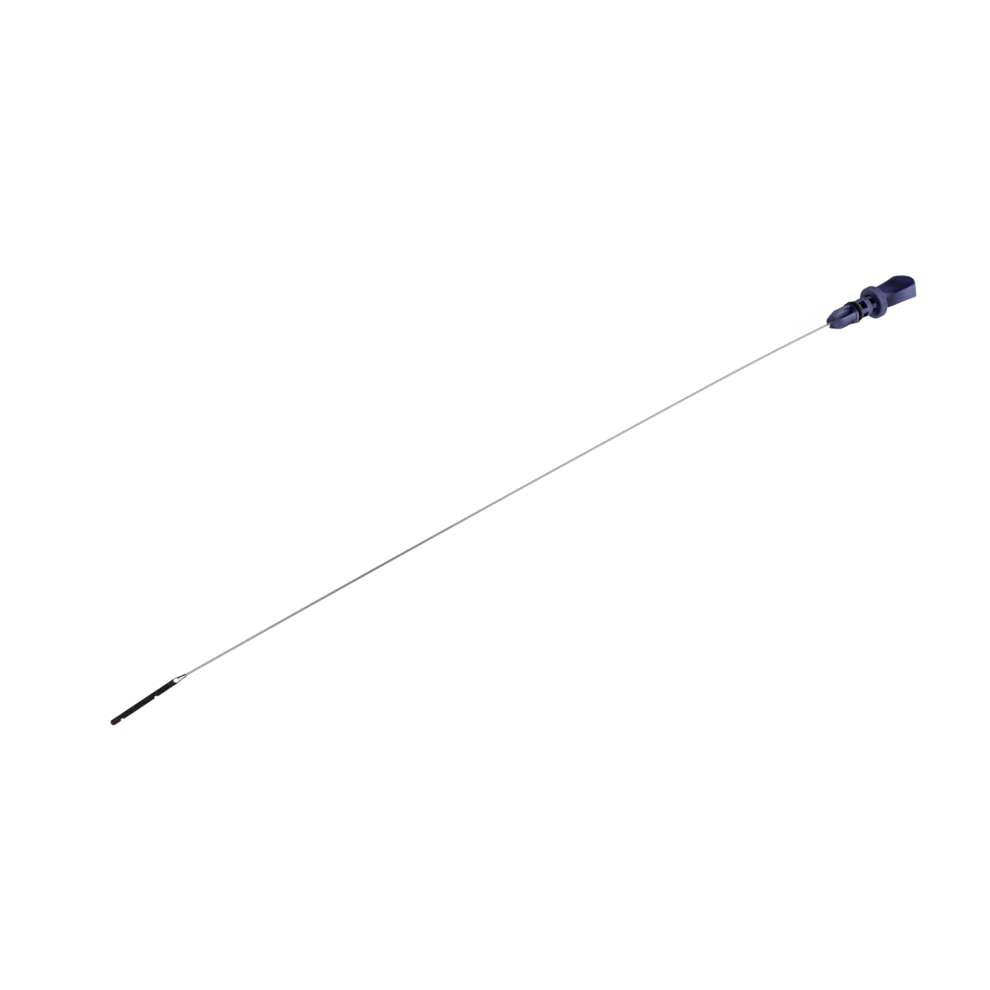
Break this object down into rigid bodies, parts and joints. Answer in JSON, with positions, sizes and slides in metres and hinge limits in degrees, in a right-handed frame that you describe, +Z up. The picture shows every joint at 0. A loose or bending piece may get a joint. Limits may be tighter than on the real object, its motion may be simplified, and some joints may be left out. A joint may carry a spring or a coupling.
{
  "type": "engine oil dipstick",
  "caption": "Engine oil dipstick lying on its side: flanged plastic grip with a ribbed plug and seal ring, a long bowed steel wire and a flat black notched gauge blade.",
  "frame": {"origin": "on the surface it lies on, under the middle of its length", "axes": "+X along its length towards the grip, +Z up, the level notches towards -Y"},
  "size_m": [0.6932, 0.0263, 0.0253],
  "materials": {
    "handle_plastic": "dark violet-blue moulded plastic, semi-gloss, with a fine moulded grain",
    "seal_rubber": "black rubber with a satin sheen",
    "wire_steel": "bright drawn steel wire",
    "blade_plastic": "black moulded plastic, slightly worn, brownish at the tip"
  },
  "bodies": {
    "root": {"handle": "handle_plastic", "seal_ring": "seal_rubber", "wire": "wire_steel", "blade": "blade_plastic"}
  },
  "joints": []
}
